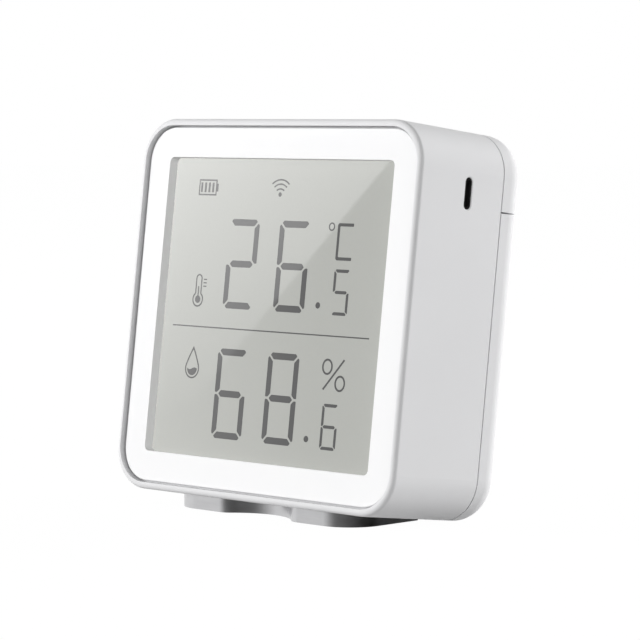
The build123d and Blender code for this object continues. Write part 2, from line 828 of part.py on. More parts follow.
def make_tilt_foot():
    rear = hinge_back + hinge_barrel / 2
    half = foot_width / 2
    radius = ((scallop_width / 2) ** 2 + scallop_depth**2) / (2 * scallop_depth)
    bite = Pos(0, foot_front + scallop_depth - radius)
    plan = foot_plan(half, foot_front, rear, foot_corner) - bite * Circle(radius)
    horns = [v for v in plan.vertices() if abs(v.X) < scallop_width and v.Y < foot_front + scallop_depth / 2]
    horns = [v for v in horns if abs(v.X) < half - foot_corner - scallop_blend]
    plan = fillet(horns, scallop_blend)
    foot = extrude(plan, foot_height)
    inner = foot_plan(half - foot_wall, foot_front + foot_wall, rear - hinge_barrel, foot_corner - foot_wall)
    inner -= bite * Circle(radius + foot_wall)
    foot -= Pos(0, 0, foot_floor) * extrude(inner, foot_height)
    # Hinge barrel along the rear edge
    foot -= Pos(0, hinge_back, foot_height + hinge_rise) * Box(width, hinge_barrel, 2 * foot_height)
    barrel = Pos(0, hinge_back, hinge_rise) * Rot(0, 90, 0) * Cylinder(hinge_barrel / 2, foot_width)
    foot += barrel
    bore = hinge_pin_diameter / 2 + hinge_pin_gap
    foot -= Pos(0, hinge_back, hinge_rise) * Rot(0, 90, 0) * Cylinder(bore, width)
    return floor * foot


def make_hinge_pin():
    half = foot_width / 2 + foot_bay_side_gap + pin_in_cheek
    return across(Pos(hinge_depth, hinge_height) * Circle(hinge_pin_diameter / 2), -half, half)


pieces = {
    "main_housing": make_main_housing(),
    "front_panel": make_front_panel(),
    "front_polariser": make_front_polariser(),
    "front_glass": make_front_glass(),
    "rear_glass": make_rear_glass(),
    "rear_reflector": make_rear_reflector(),
    "display_frame": make_display_frame(),
    "contact_strip": make_contact_strip(),
    "main_board": make_main_board(),
    "board_screws": make_board_screws(),
    "controller_chip": make_controller_chip(),
    "crystal": make_crystal(),
    "capacitors": make_capacitors(),
    "radio_board": make_radio_board(),
    "radio_shield": make_radio_shield(),
    "radio_antenna": make_antenna(),
    "sensor_board": make_sensor_board(),
    "sensor_chip": make_sensor_chip(),
    "sensor_gasket": make_sensor_gasket(),
    "sensor_header": make_sensor_header(),
    "rear_cover": make_rear_cover(),
    "cover_screws": make_cover_screws(),
    "upper_cell": make_cell(cell_heights[0], 1),
    "lower_cell": make_cell(cell_heights[1], -1),
    "upper_cell_spring": make_cell_spring(cell_heights[0], -1),
    "lower_cell_spring": make_cell_spring(cell_heights[1], 1),
    "link_contact": make_link_contact(),
    "positive_contact": make_positive_contact(),
    "negative_contact": make_negative_contact(),
    "battery_door": make_battery_door(),
    "tilt_foot": make_tilt_foot(),
    "foot_hinge_pin": make_hinge_pin(),
    "pairing_button": make_pairing_button(),
    "switch_body": make_switch_body(),
    "switch_plunger": make_switch_plunger(),
}

# Stand the device on the floor, leaning back, with its origin at the middle of its base
stand = floor.location.inverse()
standing = {name: stand * shape for name, shape in pieces.items()}
boxes = [shape.bounding_box() for shape in standing.values()]
front_most = min(box.min.Y for box in boxes)
rear_most = max(box.max.Y for box in boxes)
centring = Pos(0, -(front_most + rear_most) / 2, 0)
standing = {name: centring * shape for name, shape in standing.items()}

os.makedirs("parts", exist_ok=True)
for name, shape in standing.items():
    export_step(shape, f"parts/{name}.step")

shift = -(front_most + rear_most) / 2
print("front plane centre at y", round(shift, 4), "z", round(floor_drop, 4))
print("foot hinge axis at y", round(hinge_back + shift, 4), "z", round(hinge_rise, 4))
print("foot range to stowed", lean, "door travel", door_travel, "button travel", button_travel)
print("least gap between the turns of a contact spring", round(spring_gap(), 3))
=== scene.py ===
import json
from math import atan2, cos, pi, radians, sin, sqrt

import bmesh
import bpy
from bpy.props import FloatProperty, FloatVectorProperty, IntProperty, PointerProperty
from bpy.types import Operator, Panel, PropertyGroup
from mathutils import Matrix, Vector


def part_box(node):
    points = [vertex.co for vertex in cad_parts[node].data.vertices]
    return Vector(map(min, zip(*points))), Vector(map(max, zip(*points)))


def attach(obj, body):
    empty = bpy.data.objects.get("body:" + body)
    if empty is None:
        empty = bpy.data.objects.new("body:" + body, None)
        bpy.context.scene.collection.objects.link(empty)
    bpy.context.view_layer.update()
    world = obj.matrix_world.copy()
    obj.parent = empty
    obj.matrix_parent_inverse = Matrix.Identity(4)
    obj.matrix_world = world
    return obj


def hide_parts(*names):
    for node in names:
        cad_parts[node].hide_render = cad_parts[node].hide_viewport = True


bl_info = {
    "name": "Desk climate sensor",
    "version": (1, 0, 0),
    "blender": (4, 5, 0),
    "location": "View3D > Sidebar > Sensor",
    "description": "Dresses the packed temperature and humidity sensor and sets up its studio",
    "category": "Object",
}

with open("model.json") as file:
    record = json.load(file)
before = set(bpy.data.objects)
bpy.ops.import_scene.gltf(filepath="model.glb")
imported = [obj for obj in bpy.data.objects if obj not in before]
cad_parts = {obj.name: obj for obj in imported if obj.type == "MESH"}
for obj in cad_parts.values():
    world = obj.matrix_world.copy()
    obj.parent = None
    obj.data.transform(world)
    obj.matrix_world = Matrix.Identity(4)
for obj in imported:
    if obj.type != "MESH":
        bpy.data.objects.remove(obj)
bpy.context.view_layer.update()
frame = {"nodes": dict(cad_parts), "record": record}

MM = 0.001

# Directions of the leaning housing, read from the joint of its battery door
JOINTS = {joint["name"]: joint for joint in frame["record"]["behaviour"]["joints"]}
BACK = Vector(JOINTS["door_slide"]["axis"]).normalized()
RIGHT = Vector((1, 0, 0))
UP = RIGHT.cross(BACK)
FACE = -BACK


def middle(node):
    """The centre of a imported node's box."""
    low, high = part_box(node)
    return (low + high) / 2


DISPLAY = middle("front_polariser")

# Thickness of the film over the display
FILM = 0.18 * MM


def on_display(x, up, out=0):
    """A point of the display in millimetres: from its centre, and for out, proud of its film."""
    return DISPLAY + RIGHT * (x * MM) + UP * (up * MM) + FACE * (FILM / 2 + out * MM)


# Sizes and colours that a user would change

class SensorSizes(PropertyGroup):
    large_stroke: FloatProperty(
        name="Large stroke", description="Bar width of the large digits", unit="LENGTH", default=1.28 * MM
    )
    large_width: FloatProperty(
        name="Large width", description="Width of a large digit", unit="LENGTH", default=8.2 * MM
    )
    large_height: FloatProperty(
        name="Large height", description="Height of a large digit", unit="LENGTH", default=17.13 * MM
    )
    small_stroke: FloatProperty(
        name="Small stroke", description="Bar width of the small digits", unit="LENGTH", default=0.6 * MM
    )
    small_width: FloatProperty(
        name="Small width", description="Width of a small digit", unit="LENGTH", default=4.08 * MM
    )
    small_height: FloatProperty(
        name="Small height", description="Height of a small digit", unit="LENGTH", default=8.5 * MM
    )
    line: FloatProperty(
        name="Sign line", description="Line width of the signs", unit="LENGTH", default=0.3 * MM
    )
    ink: FloatProperty(
        name="Ink", description="Thickness of the printed segments", unit="LENGTH", default=0.012 * MM
    )
    spring_turns: IntProperty(name="Spring turns", description="Turns of a contact spring", default=4)
    wire: FloatProperty(
        name="Spring wire", description="Wire diameter", unit="LENGTH", default=0.6 * MM
    )


class SensorColours(PropertyGroup):
    housing: FloatVectorProperty(
        name="Housing", description="Moulded shell", subtype="COLOR", default=(0.79, 0.79, 0.80)
    )
    panel: FloatVectorProperty(
        name="Panel", description="Front panel", subtype="COLOR", default=(0.93, 0.93, 0.935)
    )
    film: FloatVectorProperty(
        name="Film", description="Display ground", subtype="COLOR", default=(0.432, 0.438, 0.412)
    )
    ink: FloatVectorProperty(
        name="Ink", description="Display segments", subtype="COLOR", default=(0.08, 0.08, 0.08)
    )
    foot: FloatVectorProperty(
        name="Foot", description="Tilt foot", subtype="COLOR", default=(0.6, 0.6, 0.61)
    )
    board: FloatVectorProperty(
        name="Board", description="Solder mask", subtype="COLOR", default=(0.03, 0.16, 0.07)
    )


# Nodes of materials and geometry trees

def feed(tree, node, values):
    """Sets a node's inputs. Each value is a plain one, a colour or the socket that gives it."""
    for name, value in values.items():
        socket = node.inputs[name]
        if isinstance(value, bpy.types.NodeSocket):
            tree.links.new(value, socket)
        elif socket.type == "RGBA":
            socket.default_value = (*value, 1)
        else:
            socket.default_value = value


def add_node(tree, kind, values, **properties):
    """A new node with its properties and its inputs set."""
    node = tree.nodes.new(kind)
    for name, value in properties.items():
        setattr(node, name, value)
    feed(tree, node, values)
    return node


def calculate(tree, operation, first, second):
    """The result of two values, each of them a number or a socket."""
    return add_node(tree, "ShaderNodeMath", {0: first, 1: second}, operation=operation).outputs["Value"]


# Materials. The scale of a texture counts its features per metre

# Most of a noise texture's values lie between these two
NOISE_LOW = 0.3
NOISE_HIGH = 0.7


def plain_material(name):
    """A material with its node tree and its main shader."""
    material = bpy.data.materials.new(name)
    material.use_nodes = True
    tree = material.node_tree
    return material, tree, next(node for node in tree.nodes if node.type == "BSDF_PRINCIPLED")


def patterned_material(name):
    """A plain material, and the object's own coordinates for its patterns."""
    material, tree, shader = plain_material(name)
    return material, tree, shader, tree.nodes.new("ShaderNodeTexCoord").outputs["Object"]


def noise(tree, place, scale, detail=3.0):
    """The factor of a noise texture."""
    texture = add_node(tree, "ShaderNodeTexNoise", {"Scale": scale, "Detail": detail, "Vector": place})
    return texture.outputs["Fac"]


def between(tree, factor, low, high):
    """Maps a noise factor to a range of plain values."""
    values = {"Value": factor, "From Min": NOISE_LOW, "From Max": NOISE_HIGH, "To Min": low, "To Max": high}
    return add_node(tree, "ShaderNodeMapRange", values).outputs["Result"]


def mix_colours(tree, factor, first, second):
    """A mixed colour, from the first at 0 to the second at 1."""
    values = {"Factor": factor, "A": first, "B": second}
    return add_node(tree, "ShaderNodeMix", values, data_type="RGBA").outputs["Result"]


def toned(colour, share):
    """A colour made lighter or darker by a share."""
    return tuple(min(1, part * share) for part in colour)


def relief(tree, height, strength, depth):
    """A surface raised and sunk by a height factor."""
    values = {"Strength": strength, "Distance": depth, "Height": height}
    return add_node(tree, "ShaderNodeBump", values).outputs["Normal"]


def moulded(name, colour, roughness=0.5, bump=0.12, tint=0.012, uneven=0.04):
    """Injection-moulded plastic: spark-eroded grain, faint flow marks and uneven gloss."""
    material, tree, shader, place = patterned_material(name)
    flow = between(tree, noise(tree, place, scale=46, detail=2), 0, 1)
    gloss = noise(tree, place, scale=420)
    grain = noise(tree, place, scale=5200, detail=2)
    finish_values = {
        "Base Color": mix_colours(tree, flow, toned(colour, 1 - tint), toned(colour, 1 + tint)),
        "Roughness": between(tree, gloss, roughness - uneven, roughness + uneven),
        "Normal": relief(tree, grain, bump, depth=0.02 * MM),
    }
    feed(tree, shader, finish_values)
    return material


def metal(name, colour, roughness=0.3, stretch=(1, 1, 1), scale=900, bump=0.15, uneven=0.2):
    """Bare or plated metal with fine rolling or drawing marks along one direction."""
    material, tree, shader, place = patterned_material(name)
    stretched = add_node(tree, "ShaderNodeMapping", {"Scale": stretch, "Vector": place})
    marks = noise(tree, stretched.outputs["Vector"], scale, detail=4)
    finish_values = {
        "Base Color": mix_colours(tree, between(tree, marks, 0, 1), toned(colour, 0.9), colour),
        "Roughness": between(tree, marks, roughness * (1 - uneven), roughness * (1 + uneven)),
        "Normal": relief(tree, marks, bump, depth=0.01 * MM),
        "Metallic": 1,
    }
    feed(tree, shader, finish_values)
    return material


def display_film(name, colour):
    """The display's ground under its glossy film: fine cells and a broad cloud below a smooth coat."""
    material, tree, shader, place = patterned_material(name)
    cells = between(tree, noise(tree, place, scale=2600, detail=1), 0, 1)
    cloud = between(tree, noise(tree, place, scale=18, detail=1), 0, 1)
    lighter = toned(colour, 1.015)
    fine = mix_colours(tree, cells, toned(colour, 0.985), lighter)
    broad = mix_colours(tree, cloud, toned(colour, 0.99), lighter)
    feed(tree, shader, {"Base Color": mix_colours(tree, 0.5, fine, broad), "Roughness": 0.03})
    return material


def glass(name, colour):
    """Thin clear glass with a slight haze."""
    material, tree, shader, place = patterned_material(name)
    finish_values = {
        "Base Color": colour,
        "Roughness": between(tree, noise(tree, place, scale=300), 0.02, 0.06),
        "Transmission Weight": 0.85,
        "IOR": 1.52,
    }
    feed(tree, shader, finish_values)
    return material


def circuit(name, mask):
    """Solder mask over tracks: the tracks show as slightly raised lighter lanes."""
    material, tree, shader, place = patterned_material(name)
    lane_values = {
        "Vector": place,
        "Scale": 210,
        "Mortar Size": 0.06,
        "Color1": mask,
        "Color2": toned(mask, 0.88),
        "Mortar": toned(mask, 1.5),
    }
    lanes = add_node(tree, "ShaderNodeTexBrick", lane_values)
    finish_values = {
        "Base Color": lanes.outputs["Color"],
        "Roughness": between(tree, noise(tree, place, scale=800), 0.28, 0.4),
        "Normal": relief(tree, lanes.outputs["Fac"], 0.2, depth=0.02 * MM),
    }
    feed(tree, shader, finish_values)
    return material


def foam(name, hollow, wall):
    """Soft foam: black cells with painted shade in their hollows, between slightly lighter walls."""
    material, tree, shader, place = patterned_material(name)
    cells = add_node(tree, "ShaderNodeTexVoronoi", {"Scale": 3800, "Vector": place}).outputs["Distance"]
    # Painted shade: the hollow middle of each cell is coloured darker than its walls
    finish_values = {
        "Base Color": mix_colours(tree, between(tree, cells, 0, 1), hollow, wall),
        "Roughness": 0.9,
        "Normal": relief(tree, cells, 0.6, depth=0.1 * MM),
    }
    feed(tree, shader, finish_values)
    return material


# A sleeve reaches this far each way from its middle, and its band starts at a share of its length
SLEEVE_END = 22 * MM
BAND_SHARE = 0.74


def cell_sleeve(name, body, band):
    """Shrink sleeve of a cell: a dark body with a light band near one end, by place along X."""
    material, tree, shader, place = patterned_material(name)
    split = add_node(tree, "ShaderNodeSeparateXYZ", {"Vector": place})
    ends = {"Value": split.outputs["X"], "From Min": -SLEEVE_END, "From Max": SLEEVE_END}
    along = add_node(tree, "ShaderNodeMapRange", ends)
    ramp = add_node(tree, "ShaderNodeValToRGB", {"Fac": along.outputs["Result"]})
    ramp.color_ramp.interpolation = "CONSTANT"
    first, second = ramp.color_ramp.elements
    first.color = (*body, 1)
    second.color = (*band, 1)
    second.position = BAND_SHARE
    finish_values = {
        "Base Color": ramp.outputs["Color"],
        "Roughness": between(tree, noise(tree, place, scale=500), 0.2, 0.32),
        "Coat Weight": 0.4,
    }
    feed(tree, shader, finish_values)
    return material


materials = {}


def finish(name, make, **values):
    """Makes a material once, under a plain name."""
    if name not in materials:
        materials[name] = make(name, **values)
    return materials[name]


def dress(node, name, make, **values):
    """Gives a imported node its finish."""
    piece = frame["nodes"][node]
    piece.data.materials.clear()
    piece.data.materials.append(finish(name, make, **values))


# Mesh helpers

# How far the underside of the ink stands off the film, in millimetres
INK_LIFT = 0.002


def new_piece(name, mesh, material, body):
    """Links a finished mesh as a piece that rides on a body."""
    piece = bpy.data.objects.new(name, mesh)
    bpy.context.scene.collection.objects.link(piece)
    piece.data.materials.clear()
    piece.data.materials.append(material)
    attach(piece, body)
    return piece


def bend(start, corner, end, share):
    """A share of the way from start to end along a curve that is drawn towards a corner."""
    return (1 - share) ** 2 * start + 2 * share * (1 - share) * corner + share**2 * end


def round_corners(outline, radius, steps=4):
    """Rounds each corner of a closed flat outline, by at most a third of its shorter side."""
    result = []
    count = len(outline)
    for index in range(count):
        before = Vector(outline[index - 1])
        corner = Vector(outline[index])
        after = Vector(outline[(index + 1) % count])
        to_before = before - corner
        to_after = after - corner
        reach = min(radius, to_before.length / 3, to_after.length / 3)
        start = corner + to_before.normalized() * reach
        end = corner + to_after.normalized() * reach
        result += [tuple(bend(start, corner, end, step / steps)) for step in range(steps + 1)]
    return result


def prisms(name, outlines, thickness):
    """Flat closed outlines on the display, in millimetres, raised by a thickness."""
    grid = bmesh.new()
    for outline in outlines:
        base = [grid.verts.new(on_display(x, up, INK_LIFT)) for x, up in outline]
        top = [grid.verts.new(on_display(x, up, thickness)) for x, up in outline]
        grid.faces.new(top)
        grid.faces.new(list(reversed(base)))
        for index in range(len(outline)):
            after = (index + 1) % len(outline)
            grid.faces.new((base[index], base[after], top[after], top[index]))
    bmesh.ops.recalc_face_normals(grid, faces=grid.faces)
    mesh = bpy.data.meshes.new(name)
    grid.to_mesh(mesh)
    grid.free()
    return mesh


def box_outline(left, right, low, high, corner=0.0):
    """A rectangle, with round corners if a radius is given."""
    outline = [(left, low), (right, low), (right, high), (left, high)]
    return round_corners(outline, corner) if corner else outline


def arc(x, y, radius_x, radius_y, start, end, steps):
    """Points round a centre from one angle to another, both ends included."""
    angles = [start + (end - start) * step / steps for step in range(steps + 1)]
    return [(x + radius_x * cos(angle), y + radius_y * sin(angle)) for angle in angles]


def disc_outline(x, y, radius, steps=28):
    """A full circle."""
    return arc(x, y, radius, radius, 0, 2 * pi, steps)[:-1]


def band_outlines(outer, inner):
    """The band between two closed outlines, as four-sided pieces joined side by side."""
    pieces = []
    for index in range(len(outer)):
        after = (index + 1) % len(outer)
        pieces.append([outer[index], outer[after], inner[after], inner[index]])
    return pieces


def bent_outlines(x, y, radius_x, radius_y, line, start, end, steps):
    """A bent line of even width from one angle to another, as one outline."""
    outer = arc(x, y, radius_x + line / 2, radius_y + line / 2, start, end, steps)
    inner = arc(x, y, radius_x - line / 2, radius_y - line / 2, start, end, steps)
    return [outer + inner[::-1]]


def ring_outlines(x, y, radius_x, radius_y, line, steps):
    """A line of even width all the way round a centre."""
    outer = arc(x, y, radius_x + line / 2, radius_y + line / 2, 0, 2 * pi, steps)
    inner = arc(x, y, radius_x - line / 2, radius_y - line / 2, 0, 2 * pi, steps)
    return band_outlines(outer[:-1], inner[:-1])


def bar_outline(start, end, line):
    """A straight line of even width between two points."""
    first, last = Vector(start), Vector(end)
    along = (last - first).normalized()
    side = Vector((-along.y, along.x)) * line / 2
    return [tuple(corner) for corner in (first + side, first - side, last - side, last + side)]


# Bars of a seven-bar digit. Round the outside from the top, clockwise, they are a to f, and g is the middle
DIGIT_BARS = {"2": "abged", "6": "afgedc", "8": "abcdefg", "5": "afgcd"}

# Shape of the bars, as shares of their width
CORNER_SHARE = 0.8
FLAT_GAP_SHARE = 0.12
UPRIGHT_GAP_SHARE = 0.32
MIDDLE_GAP_SHARE = 0.17
TIP_SHARE = 0.77
ROUND_SHARE = 0.16


def digit(text, left, low, width, height, stroke):
    """The outlines of one digit. Its outer corners are cut, and its bars meet at mitres with light gaps."""
    right, high = left + width, low + height
    centre = low + height / 2
    half = stroke / 2
    cut, flat, upright = stroke * CORNER_SHARE, stroke * FLAT_GAP_SHARE, stroke * UPRIGHT_GAP_SHARE
    middle_gap, tip = stroke * MIDDLE_GAP_SHARE, stroke * TIP_SHARE
    bars = {
        "g": [
            (left + tip, centre),
            (left + tip + half, centre + half),
            (right - tip - half, centre + half),
            (right - tip, centre),
            (right - tip - half, centre - half),
            (left + tip + half, centre - half),
        ]
    }
    for name, edge, way in (("a", high, -1), ("d", low, 1)):
        bars[name] = [
            (left + cut, edge),
            (right - cut, edge),
            (right - (cut + flat) / 2, edge + way * (cut - flat) / 2),
            (right - stroke - flat, edge + way * stroke),
            (left + stroke + flat, edge + way * stroke),
            (left + (cut + flat) / 2, edge + way * (cut - flat) / 2),
        ]
    for names, edge, way in (("fe", left, 1), ("bc", right, -1)):
        for name, end, up in ((names[0], high, 1), (names[1], low, -1)):
            bars[name] = [
                (edge, end - up * cut),
                (edge + way * (cut - upright) / 2, end - up * (cut + upright) / 2),
                (edge + way * stroke, end - up * (stroke + upright)),
                (edge + way * stroke, centre + up * (middle_gap + half)),
                (edge + way * half, centre + up * middle_gap),
                (edge, centre + up * middle_gap),
            ]
    return [round_corners(bars[bar], stroke * ROUND_SHARE) for bar in DIGIT_BARS[text]]


# Places on the display, in millimetres from its centre
READINGS = {
    "temperature_reading": {"text": "26", "small": "5", "low": -0.04, "small_low": -0.04, "dot": 1.6},
    "humidity_reading": {"text": "68", "small": "6", "low": -24.84, "small_low": -24.86, "dot": -23.2},
}
LARGE_LEFT = (-13.72, -0.06)
SMALL_LEFT = 15.15
DOT_X = 11.62
DOT_RADIUS = 0.6


class SENSOR_OT_digits(Operator):
    """Makes the readings on the display"""
    bl_idname = "sensor.digits"
    bl_label = "Readings"

    def execute(self, context):
        size = context.scene.sensor_sizes
        large = (size.large_width / MM, size.large_height / MM, size.large_stroke / MM)
        small = (size.small_width / MM, size.small_height / MM, size.small_stroke / MM)
        ink = finish("display_ink", display_film, colour=context.scene.sensor_colours.ink)
        for name, reading in READINGS.items():
            outlines = []
            for left, text in zip(LARGE_LEFT, reading["text"]):
                outlines += digit(text, left, reading["low"], *large)
            outlines += digit(reading["small"], SMALL_LEFT, reading["small_low"], *small)
            outlines.append(disc_outline(DOT_X, reading["dot"], DOT_RADIUS))
            new_piece(name, prisms(name, outlines, size.ink / MM), ink, "housing")
        return {"FINISHED"}


# Signs on the display, in millimetres and degrees. Insets, and how much bolder a line is, count in lines
BATTERY = {
    "left": -23.1,
    "right": -18.15,
    "low": 21.45,
    "high": 24.55,
    "nub": 0.42,
    "nub_inset": 2.6,
    "bars": 4,
    "bar_inset": 2,
    "bar_share": 0.5,
    "before_bar_share": 0.23,
    "spare_share": 0.15,
}
SIGNAL = {"x": -0.82, "y": 21.98, "radii": (1.05, 1.96, 2.8), "wider": 0.32, "spread": 46, "dot": 0.44}

# Filling and column foot are shares of the bulb's radius, and the other shares are of the tube's
THERMOMETER = {
    "x": -20.75,
    "top": 6.1,
    "tube_radius": 0.72,
    "bulb": 1.36,
    "bulb_radius": 1.32,
    "filling_share": 0.56,
    "column_foot_share": 0.5,
    "column_gap_share": 3.1,
    "ticks": (5.25, 4.58, 3.92),
    "tick_shares": (1.75, 2.95),
    "tick_finer": 1.3,
}

# The belly is an arc from one angle to the other, and its sides bulge by a share of their way inwards
DROP = {
    "x": -20.6,
    "top": -7.68,
    "centre": -11.98,
    "radius": 1.96,
    "belly_angles": (-200, 20),
    "bulge_share": 0.6,
    "side_steps": 8,
    "water_inset": 2,
    "wave": 0.2,
    "wave_steps": 12,
}
DEGREE = {"x": 13.5, "y": 16.28, "radius": 0.66}
LETTER = {"left": 15.05, "right": 19.1, "low": 10.1, "high": 17.0, "bolder": 2, "round_share": 0.3}
PERCENT = {
    "slash": ((14.8, -13.8), (19.7, -8.1)),
    "rings": ((15.5, -9.56), (19.0, -12.5)),
    "radius": 1.16,
    "taller_share": 1.14,
    "bolder": 1.3,
}
DIVIDER = {"left": -27.1, "right": 25.4, "y": -3.88, "finer": 1.2}


def battery_outlines(line):
    """A lying battery with its nub, filled with upright bars."""
    left, right, low, high = (BATTERY[key] for key in ("left", "right", "low", "high"))
    nub_inset, bar_inset = line * BATTERY["nub_inset"], line * BATTERY["bar_inset"]
    outlines = [
        box_outline(left, right, high - line, high),
        box_outline(left, right, low, low + line),
        box_outline(left, left + line, low + line, high - line),
        box_outline(right - line, right, low + line, high - line),
        box_outline(right, right + BATTERY["nub"], low + nub_inset, high - nub_inset, line / 2),
    ]
    room = (right - left - 2 * line) / (BATTERY["bars"] + BATTERY["spare_share"])
    for bar in range(BATTERY["bars"]):
        start = left + line + room * (bar + BATTERY["before_bar_share"])
        outlines.append(
            box_outline(start, start + room * BATTERY["bar_share"], low + bar_inset, high - bar_inset)
        )
    return outlines


def signal_outlines(line):
    """A dot below three widening arcs."""
    x, y, spread = SIGNAL["x"], SIGNAL["y"], radians(SIGNAL["spread"])
    outlines = [disc_outline(x, y, SIGNAL["dot"], steps=20)]
    for radius in SIGNAL["radii"]:
        across = radius + SIGNAL["wider"]
        outlines += bent_outlines(x, y, across, radius, line, pi / 2 - spread, pi / 2 + spread, steps=20)
    return outlines


def thermometer_outlines(line):
    """A thermometer's outline, its filled bulb, its column and its ticks."""
    x, bulb, radius = THERMOMETER["x"], THERMOMETER["bulb"], THERMOMETER["bulb_radius"]
    tube, top = THERMOMETER["tube_radius"], THERMOMETER["top"]
    neck = atan2(sqrt(radius**2 - tube**2), tube)
    shoulder = bulb + radius * sin(neck)
    outlines = bent_outlines(x, bulb, radius, radius, line, pi - neck, 2 * pi + neck, steps=36)
    outlines += bent_outlines(x, top - tube, tube, tube, line, 0, pi, steps=16)
    for edge in (x - tube, x + tube):
        outlines.append(box_outline(edge - line / 2, edge + line / 2, shoulder, top - tube))
    outlines.append(disc_outline(x, bulb, radius * THERMOMETER["filling_share"], steps=24))
    foot = bulb + radius * THERMOMETER["column_foot_share"]
    head = top - tube * THERMOMETER["column_gap_share"]
    outlines.append(box_outline(x - line / 2, x + line / 2, foot, head))
    left, right = (x + tube * share for share in THERMOMETER["tick_shares"])
    half = line / THERMOMETER["tick_finer"] / 2
    outlines += [box_outline(left, right, y - half, y + half) for y in THERMOMETER["ticks"]]
    return outlines


def drop_outline(scale):
    """A drop: a round belly drawn up to a point by two easy curves."""
    x, centre, radius = DROP["x"], DROP["centre"], DROP["radius"] * scale
    peak = (x, centre + (DROP["top"] - centre) * scale)
    first, last = (radians(angle) for angle in DROP["belly_angles"])
    points = arc(x, centre, radius, radius, first, last, steps=18)
    steps = DROP["side_steps"]
    for start, end in ((points[-1], peak), (peak, points[0])):
        pull = (x + (start[0] + end[0] - 2 * x) * DROP["bulge_share"], (start[1] + end[1]) / 2)
        for step in range(1, steps):
            points.append(tuple(bend(*ways, step / steps) for ways in zip(start, pull, end)))
        if end is peak:
            points.append(peak)
    return points


def drop_outlines(line):
    """A drop's outline, and the water in its belly under a shallow wave."""
    outlines = band_outlines(drop_outline(1), drop_outline(1 - line / DROP["radius"]))
    x, centre = DROP["x"], DROP["centre"]
    belly = DROP["radius"] - line * DROP["water_inset"]
    water = arc(x, centre, belly, belly, -pi, 0, steps=16)
    for step in range(1, DROP["wave_steps"]):
        share = step / DROP["wave_steps"]
        water.append((x + belly * (1 - 2 * share), centre + DROP["wave"] * sin(2 * pi * share)))
    outlines.append(water)
    return outlines


def temperature_sign_outlines(line):
    """The degree ring and the letter of the scale."""
    left, right, low, high = (LETTER[key] for key in ("left", "right", "low", "high"))
    stroke = line * LETTER["bolder"]
    letter = [
        (right, high),
        (left + stroke / 2, high),
        (left, high - stroke / 2),
        (left, low + stroke / 2),
        (left + stroke / 2, low),
        (right, low),
        (right, low + stroke),
        (left + stroke, low + stroke),
        (left + stroke, high - stroke),
        (right, high - stroke),
    ]
    radius = DEGREE["radius"]
    outlines = ring_outlines(DEGREE["x"], DEGREE["y"], radius, radius, line, steps=28)
    outlines.append(round_corners(letter, stroke * LETTER["round_share"]))
    return outlines


def percent_outlines(line):
    """A slanted stroke between two upright ovals."""
    stroke, radius = line * PERCENT["bolder"], PERCENT["radius"]
    outlines = [bar_outline(*PERCENT["slash"], stroke)]
    for x, y in PERCENT["rings"]:
        outlines += ring_outlines(x, y, radius, radius * PERCENT["taller_share"], stroke, steps=32)
    return outlines


def divider_outlines(line):
    """The line between the two readings."""
    y, half = DIVIDER["y"], line / DIVIDER["finer"] / 2
    return [box_outline(DIVIDER["left"], DIVIDER["right"], y - half, y + half)]


SIGNS = {
    "battery_sign": battery_outlines,
    "signal_sign": signal_outlines,
    "thermometer_sign": thermometer_outlines,
    "drop_sign": drop_outlines,
    "temperature_sign": temperature_sign_outlines,
    "percent_sign": percent_outlines,
    "dividing_line": divider_outlines,
}


class SENSOR_OT_signs(Operator):
    """Makes the signs and the dividing line on the display"""
    bl_idname = "sensor.signs"
    bl_label = "Signs"

    def execute(self, context):
        size = context.scene.sensor_sizes
        ink = finish("display_ink", display_film, colour=context.scene.sensor_colours.ink)
        for name, outlines in SIGNS.items():
            mesh = prisms(name, outlines(size.line / MM), size.ink / MM)
            new_piece(name, mesh, ink, "housing")
        return {"FINISHED"}


class SENSOR_OT_display(Operator):
    """Finishes the display stack and the pieces that hold it"""
    bl_idname = "sensor.display"
    bl_label = "Display"

    def execute(self, context):
        film = context.scene.sensor_colours.film
        dress("front_polariser", "display_ground", display_film, colour=film)
        for node in ("front_glass", "rear_glass"):
            dress(node, "cell_glass", glass, colour=(0.78, 0.84, 0.8))
        foil = {"colour": (0.6, 0.6, 0.58), "roughness": 0.35, "scale": 600}
        dress("rear_reflector", "reflector_foil", metal, **foil)
        dress("display_frame", "frame_plastic", moulded, colour=(0.8, 0.8, 0.8))
        silicone = {"colour": (0.72, 0.5, 0.46), "roughness": 0.6, "tint": 0.05}
        dress("contact_strip", "strip_silicone", moulded, **silicone)
        return {"FINISHED"}


class SENSOR_OT_case(Operator):
    """Finishes the housing, the panel, the rear cover, the door, the button and the screws"""
    bl_idname = "sensor.case"
    bl_label = "Case"

    def execute(self, context):
        colours = context.scene.sensor_colours
        for node in ("main_housing", "rear_cover", "battery_door"):
            dress(node, "housing_plastic", moulded, colour=colours.housing, roughness=0.42)
        smooth = {"colour": colours.panel, "roughness": 0.4, "bump": 0.06, "tint": 0.004}
        dress("front_panel", "panel_plastic", moulded, **smooth)
        # The panel stays out of mirror images, so that the card's glare reaches the edge of the display
        frame["nodes"]["front_panel"].visible_glossy = False
        dress("pairing_button", "button_plastic", moulded, colour=(0.62, 0.62, 0.63))
        for node in ("cover_screws", "board_screws"):
            dress(node, "screw_steel", metal, colour=(0.6, 0.6, 0.61), roughness=0.32, scale=1500)
        return {"FINISHED"}


class SENSOR_OT_foot(Operator):
    """Finishes the fold-out foot and its hinge pin"""
    bl_idname = "sensor.foot"
    bl_label = "Foot"

    def execute(self, context):
        polished = {"stretch": (0.12, 1, 1), "bump": 0.002, "uneven": 0.02}
        dress("tilt_foot", "foot_metal", metal, colour=context.scene.sensor_colours.foot, **polished)
        dress("foot_hinge_pin", "pin_steel", metal, colour=(0.6, 0.6, 0.6), roughness=0.25)
        return {"FINISHED"}


